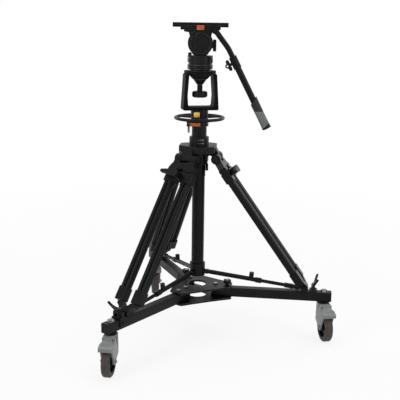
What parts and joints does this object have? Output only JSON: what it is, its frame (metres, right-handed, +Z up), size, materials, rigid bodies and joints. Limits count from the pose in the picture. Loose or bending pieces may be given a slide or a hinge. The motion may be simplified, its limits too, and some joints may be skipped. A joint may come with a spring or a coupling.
{
  "type": "camera pedestal",
  "caption": "Camera pedestal: folding wheeled dolly, tripod with ground spreader, lifting column with steering ring, bowl yoke, fluid head, sliding plate and pan bar.",
  "frame": {"origin": "on the column's axis at floor level", "axes": "+Z up along the column, X along the camera plate with the pan bar towards +X, -Y towards the front leg's side"},
  "size_m": [0.9481, 1.0717, 1.315],
  "materials": {
    "black_coat": "satin black powder coat over cast aluminium",
    "black_anodised": "matt black anodised tube",
    "grey_anodised": "grey anodised casting",
    "grey_enamel": "grey enamel over zinc die casting",
    "bright_steel": "zinc plated",
    "tread": "grey brown polyurethane tread",
    "black_plastic": "moulded black nylon",
    "orange_plastic": "moulded orange nylon",
    "gold_alloy": "gold anodised",
    "grip_rubber": "moulded grip"
  },
  "bodies": {
    "dolly": {"hub_top_plate": "black_coat", "hub_bottom_plate": "black_coat", "hub_bolts": "bright_steel", "front_arm": "black_coat", "front_foot_clamp": "black_coat"},
    "right_arm": {"right_arm": "black_coat", "right_foot_clamp": "black_coat"},
    "rear_arm": {"rear_arm": "black_coat", "rear_foot_clamp": "black_coat"},
    "column": {"spider": "black_coat", "column_tube": "black_anodised"},
    "height_lock_lever": {"height_lock_lever": "orange_plastic"},
    "brake_blade": {"brake_blade": "grey_anodised"},
    "column_clamp_knob": {"column_clamp_knob": "black_plastic"},
    "ram": {"ram": "bright_steel", "steering_ring": "black_plastic", "yoke": "black_coat"},
    "ring_release": {"ring_release": "gold_alloy"},
    "bowl_base": {"half_ball": "black_coat"},
    "tie_down_knob": {"tie_down_knob": "black_plastic"},
    "pan": {"pan_body": "black_coat"},
    "drag_knob": {"drag_knob": "black_plastic"},
    "tilt": {"tilt_body": "black_coat"},
    "release_button": {"release_button": "orange_plastic"},
    "camera_plate": {"camera_plate": "black_coat"},
    "handle": {"handle_tube": "black_coat"},
    "handle_extension": {"handle_extension": "grip_rubber"},
    "handle_wing_knob": {"handle_wing_knob": "black_plastic"},
    "front_caster": {"front_caster_housing": "grey_enamel"},
    "front_wheel": {"front_caster_wheel": "tread"},
    "front_pedal": {"front_caster_pedal": "grey_enamel"},
    "front_foot_lever": {"front_foot_lever": "black_plastic"},
    "front_leg_upper": {"front_leg_upper": "black_anodised"},
    "front_leg_lower": {"front_leg_lower": "black_anodised"},
    "front_leg_lock": {"front_leg_lock_knob": "black_plastic"},
    "front_spreader_outer": {"front_spreader_outer": "black_anodised"},
    "front_spreader_inner": {"front_spreader_inner": "black_anodised"},
    "front_spreader_knob": {"front_spreader_knob": "black_plastic"},
    "right_caster": {"right_caster_housing": "grey_enamel"},
    "right_wheel": {"right_caster_wheel": "tread"},
    "right_pedal": {"right_caster_pedal": "grey_enamel"},
    "right_foot_lever": {"right_foot_lever": "black_plastic"},
    "right_leg_upper": {"right_leg_upper": "black_anodised"},
    "right_leg_lower": {"right_leg_lower": "black_anodised"},
    "right_leg_lock": {"right_leg_lock_knob": "black_plastic"},
    "right_spreader_outer": {"right_spreader_outer": "black_anodised"},
    "right_spreader_inner": {"right_spreader_inner": "black_anodised"},
    "right_spreader_knob": {"right_spreader_knob": "black_plastic"},
    "right_arm_lock": {"right_arm_lock_knob": "black_plastic"},
    "rear_caster": {"rear_caster_housing": "grey_enamel"},
    "rear_wheel": {"rear_caster_wheel": "tread"},
    "rear_pedal": {"rear_caster_pedal": "grey_enamel"},
    "rear_foot_lever": {"rear_foot_lever": "black_plastic"},
    "rear_leg_upper": {"rear_leg_upper": "black_anodised"},
    "rear_leg_lower": {"rear_leg_lower": "black_anodised"},
    "rear_leg_lock": {"rear_leg_lock_knob": "black_plastic"},
    "rear_spreader_outer": {"rear_spreader_outer": "black_anodised"},
    "rear_spreader_inner": {"rear_spreader_inner": "black_anodised"},
    "rear_spreader_knob": {"rear_spreader_knob": "black_plastic"},
    "rear_arm_lock": {"rear_arm_lock_knob": "black_plastic"}
  },
  "joints": [
    {"name": "stand_height", "type": "slide", "parent": "dolly", "child": "column", "axis": [0, 0, 1], "range_m": [0, 0.15]},
    {"name": "column_rise", "type": "slide", "parent": "column", "child": "ram", "axis": [0, 0, 1], "range_m": [0, 0.38]},
    {"name": "height_lock", "type": "hinge", "parent": "column", "child": "height_lock_lever", "pos_m": [-0.003, -0.045, 0.909], "axis": [0, 0, 1], "range_deg": [0, 60]},
    {"name": "brake_blade_swing", "type": "hinge", "parent": "column", "child": "brake_blade", "pos_m": [-0.043, -0.034, 0.909], "axis": [0, 1, 0], "range_deg": [0, 35]},
    {"name": "column_clamp", "type": "hinge", "parent": "column", "child": "column_clamp_knob", "pos_m": [0.0338, 0, 0.7255], "axis": [1, 0, 0], "range_deg": [0, 360]},
    {"name": "ring_release_pull", "type": "slide", "parent": "ram", "child": "ring_release", "axis": [0, -1, 0], "range_m": [0, 0.006], "stiffness_N_per_m": 400, "springref_m": -0.004},
    {"name": "bowl_level", "type": "hinge", "parent": "ram", "child": "bowl_base", "pos_m": [0, 0, 1.124], "axis": [0.9781, 0.2079, 0], "range_deg": [-6, 6]},
    {"name": "tie_down", "type": "hinge", "parent": "bowl_base", "child": "tie_down_knob", "pos_m": [0, 0, 1.028], "axis": [0, 0, 1], "range_deg": [0, 360]},
    {"name": "head_pan", "type": "hinge", "parent": "bowl_base", "child": "pan", "pos_m": [0, 0, 1.15], "axis": [0, 0, 1], "continuous": true},
    {"name": "tilt_drag", "type": "hinge", "parent": "pan", "child": "drag_knob", "pos_m": [0.057, 0, 1.225], "axis": [1, 0, 0], "range_deg": [0, 270]},
    {"name": "head_tilt", "type": "hinge", "parent": "pan", "child": "tilt", "pos_m": [0, 0, 1.235], "axis": [0, 1, 0], "range_deg": [-65, 17]},
    {"name": "plate_release", "type": "slide", "parent": "tilt", "child": "release_button", "axis": [0, 1, 0], "range_m": [0, 0.003], "stiffness_N_per_m": 500, "springref_m": -0.004},
    {"name": "plate_slide", "type": "slide", "parent": "tilt", "child": "camera_plate", "axis": [1, 0, 0], "range_m": [-0.045, 0.045]},
    {"name": "handle_angle", "type": "hinge", "parent": "tilt", "child": "handle", "pos_m": [0.0585, -0.045, 1.286], "axis": [0, -1, 0], "range_deg": [-15, 100]},
    {"name": "handle_extend", "type": "slide", "parent": "handle", "child": "handle_extension", "axis": [0.4562, 0, -0.8899], "range_m": [0, 0.055]},
    {"name": "handle_clamp", "type": "hinge", "parent": "handle_extension", "child": "handle_wing_knob", "pos_m": [0.13983, -0.052, 1.16172], "axis": [-0.8899, 0, -0.4562], "range_deg": [0, 360]},
    {"name": "front_swivel", "type": "hinge", "parent": "dolly", "child": "front_caster", "pos_m": [-0.32679, -0.43366, 0.16], "axis": [0, 0, 1], "continuous": true},
    {"name": "front_wheel_spin", "type": "hinge", "parent": "front_caster", "child": "front_wheel", "pos_m": [-0.33207, -0.47129, 0.0625], "axis": [0.9903, -0.1392, 0], "continuous": true},
    {"name": "front_brake_pedal", "type": "hinge", "parent": "front_caster", "child": "front_pedal", "pos_m": [-0.33152, -0.46733, 0.15], "axis": [0.9903, -0.1392, 0], "range_deg": [0, 8]},
    {"name": "front_foot_release", "type": "hinge", "parent": "dolly", "child": "front_foot_lever", "pos_m": [-0.2994, -0.39732, 0.2275], "axis": [0.7986, -0.6018, 0], "range_deg": [0, 70]},
    {"name": "front_leg_swing", "type": "hinge", "parent": "column", "child": "front_leg_upper", "pos_m": [-0.04574, -0.0607, 0.768], "axis": [0.7986, -0.6018, 0], "range_deg": [0, 6.26]},
    {"name": "front_leg_extend", "type": "slide", "parent": "front_leg_upper", "child": "front_leg_lower", "axis": [-0.3471, -0.4606, -0.8169], "range_m": [0, 0.12745]},
    {"name": "front_leg_lock_turn", "type": "hinge", "parent": "front_leg_lower", "child": "front_leg_lock", "pos_m": [-0.08661, -0.11493, 0.71343], "axis": [-0.4916, -0.6524, 0.5768], "range_deg": [0, 80]},
    {"name": "front_spreader_swing", "type": "hinge", "parent": "column", "child": "front_spreader_outer", "pos_m": [-0.02588, -0.03434, 0.27], "axis": [0.7986, -0.6018, 0], "range_deg": [0, 19.57]},
    {"name": "front_spreader_reach", "type": "slide", "parent": "front_spreader_outer", "child": "front_spreader_inner", "axis": [-0.5969, -0.7921, -0.128], "range_m": [0, 0.04404]},
    {"name": "front_spreader_lock", "type": "hinge", "parent": "front_spreader_outer", "child": "front_spreader_knob", "pos_m": [-0.14082, -0.18688, 0.26552], "axis": [-0.077, -0.1022, 0.9918], "range_deg": [0, 360]},
    {"name": "right_swivel", "type": "hinge", "parent": "right_arm", "child": "right_caster", "pos_m": [0.53895, -0.06617, 0.16], "axis": [0, 0, 1], "continuous": true},
    {"name": "right_wheel_spin", "type": "hinge", "parent": "right_caster", "child": "right_wheel", "pos_m": [0.54522, -0.10365, 0.0625], "axis": [0.9863, 0.165, 0], "continuous": true},
    {"name": "right_brake_pedal", "type": "hinge", "parent": "right_caster", "child": "right_pedal", "pos_m": [0.54456, -0.09971, 0.15], "axis": [0.9863, 0.165, 0], "range_deg": [0, 8]},
    {"name": "right_foot_release", "type": "hinge", "parent": "right_arm", "child": "right_foot_lever", "pos_m": [0.49379, -0.06063, 0.2275], "axis": [0.1219, 0.9925, 0], "range_deg": [0, 70]},
    {"name": "right_leg_swing", "type": "hinge", "parent": "column", "child": "right_leg_upper", "pos_m": [0.07543, -0.00926, 0.768], "axis": [0.1219, 0.9925, 0], "range_deg": [0, 6.26]},
    {"name": "right_leg_extend", "type": "slide", "parent": "right_leg_upper", "child": "right_leg_lower", "axis": [0.5725, -0.0703, -0.8169], "range_m": [0, 0.12745]},
    {"name": "right_leg_lock_turn", "type": "hinge", "parent": "right_leg_lower", "child": "right_leg_lock", "pos_m": [0.14284, -0.01754, 0.71343], "axis": [0.8108, -0.0996, 0.5768], "range_deg": [0, 80]},
    {"name": "right_spreader_swing", "type": "hinge", "parent": "column", "child": "right_spreader_outer", "pos_m": [0.04268, -0.00524, 0.27], "axis": [0.1219, 0.9925, 0], "range_deg": [0, 19.57]},
    {"name": "right_spreader_reach", "type": "slide", "parent": "right_spreader_outer", "child": "right_spreader_inner", "axis": [0.9844, -0.1209, -0.128], "range_m": [0, 0.04404]},
    {"name": "right_spreader_lock", "type": "hinge", "parent": "right_spreader_outer", "child": "right_spreader_knob", "pos_m": [0.23225, -0.02852, 0.26552], "axis": [0.127, -0.0156, 0.9918], "range_deg": [0, 360]},
    {"name": "right_arm_fold", "type": "hinge", "parent": "dolly", "child": "right_arm", "pos_m": [0.0794, -0.00975, 0.1865], "axis": [0, 0, -1], "range_deg": [0, 105]},
    {"name": "right_arm_lock_turn", "type": "hinge", "parent": "dolly", "child": "right_arm_lock", "pos_m": [0.12903, -0.01584, 0.225], "axis": [0, 0, 1], "range_deg": [0, 360]},
    {"name": "rear_swivel", "type": "hinge", "parent": "rear_arm", "child": "rear_caster", "pos_m": [-0.21217, 0.49983, 0.16], "axis": [0, 0, 1], "continuous": true},
    {"name": "rear_wheel_spin", "type": "hinge", "parent": "rear_caster", "child": "rear_wheel", "pos_m": [-0.20786, 0.46208, 0.0625], "axis": [0.9936, 0.1132, 0], "continuous": true},
    {"name": "rear_brake_pedal", "type": "hinge", "parent": "rear_caster", "child": "rear_pedal", "pos_m": [-0.20832, 0.46605, 0.15], "axis": [0.9936, 0.1132, 0], "range_deg": [0, 8]},
    {"name": "rear_foot_release", "type": "hinge", "parent": "rear_arm", "child": "rear_foot_lever", "pos_m": [-0.19439, 0.45795, 0.2275], "axis": [-0.9205, -0.3907, 0], "range_deg": [0, 70]},
    {"name": "rear_leg_swing", "type": "hinge", "parent": "column", "child": "rear_leg_upper", "pos_m": [-0.0297, 0.06996, 0.768], "axis": [-0.9205, -0.3907, 0], "range_deg": [0, 6.26]},
    {"name": "rear_leg_extend", "type": "slide", "parent": "rear_leg_upper", "child": "rear_leg_lower", "axis": [-0.2254, 0.5309, -0.8169], "range_m": [0, 0.12745]},
    {"name": "rear_leg_lock_turn", "type": "hinge", "parent": "rear_leg_lower", "child": "rear_leg_lock", "pos_m": [-0.05623, 0.13247, 0.71343], "axis": [-0.3192, 0.752, 0.5768], "range_deg": [0, 80]},
    {"name": "rear_spreader_swing", "type": "hinge", "parent": "column", "child": "rear_spreader_outer", "pos_m": [-0.0168, 0.03958, 0.27], "axis": [-0.9205, -0.3907, 0], "range_deg": [0, 19.57]},
    {"name": "rear_spreader_reach", "type": "slide", "parent": "rear_spreader_outer", "child": "rear_spreader_inner", "axis": [-0.3875, 0.9129, -0.128], "range_m": [0, 0.04404]},
    {"name": "rear_spreader_lock", "type": "hinge", "parent": "rear_spreader_outer", "child": "rear_spreader_knob", "pos_m": [-0.09143, 0.2154, 0.26552], "axis": [-0.05, 0.1178, 0.9918], "range_deg": [0, 360]},
    {"name": "rear_arm_fold", "type": "hinge", "parent": "dolly", "child": "rear_arm", "pos_m": [-0.03126, 0.07364, 0.1865], "axis": [0, 0, 1], "range_deg": [0, 105]},
    {"name": "rear_arm_lock_turn", "type": "hinge", "parent": "dolly", "child": "rear_arm_lock", "pos_m": [-0.05079, 0.11967, 0.225], "axis": [0, 0, 1], "range_deg": [0, 360]}
  ],
  "couplings": [
    {"joint": "front_leg_swing", "follows": "stand_height", "rad_per_m": 0.72559},
    {"joint": "front_leg_extend", "follows": "stand_height", "ratio": 0.84832},
    {"joint": "front_spreader_swing", "follows": "stand_height", "rad_per_m": 2.2742},
    {"joint": "front_spreader_reach", "follows": "stand_height", "ratio": 0.29227},
    {"joint": "right_leg_swing", "follows": "stand_height", "rad_per_m": 0.72559},
    {"joint": "right_leg_extend", "follows": "stand_height", "ratio": 0.84832},
    {"joint": "right_spreader_swing", "follows": "stand_height", "rad_per_m": 2.2742},
    {"joint": "right_spreader_reach", "follows": "stand_height", "ratio": 0.29227},
    {"joint": "rear_leg_swing", "follows": "stand_height", "rad_per_m": 0.72559},
    {"joint": "rear_leg_extend", "follows": "stand_height", "ratio": 0.84832},
    {"joint": "rear_spreader_swing", "follows": "stand_height", "rad_per_m": 2.2742},
    {"joint": "rear_spreader_reach", "follows": "stand_height", "ratio": 0.29227}
  ]
}
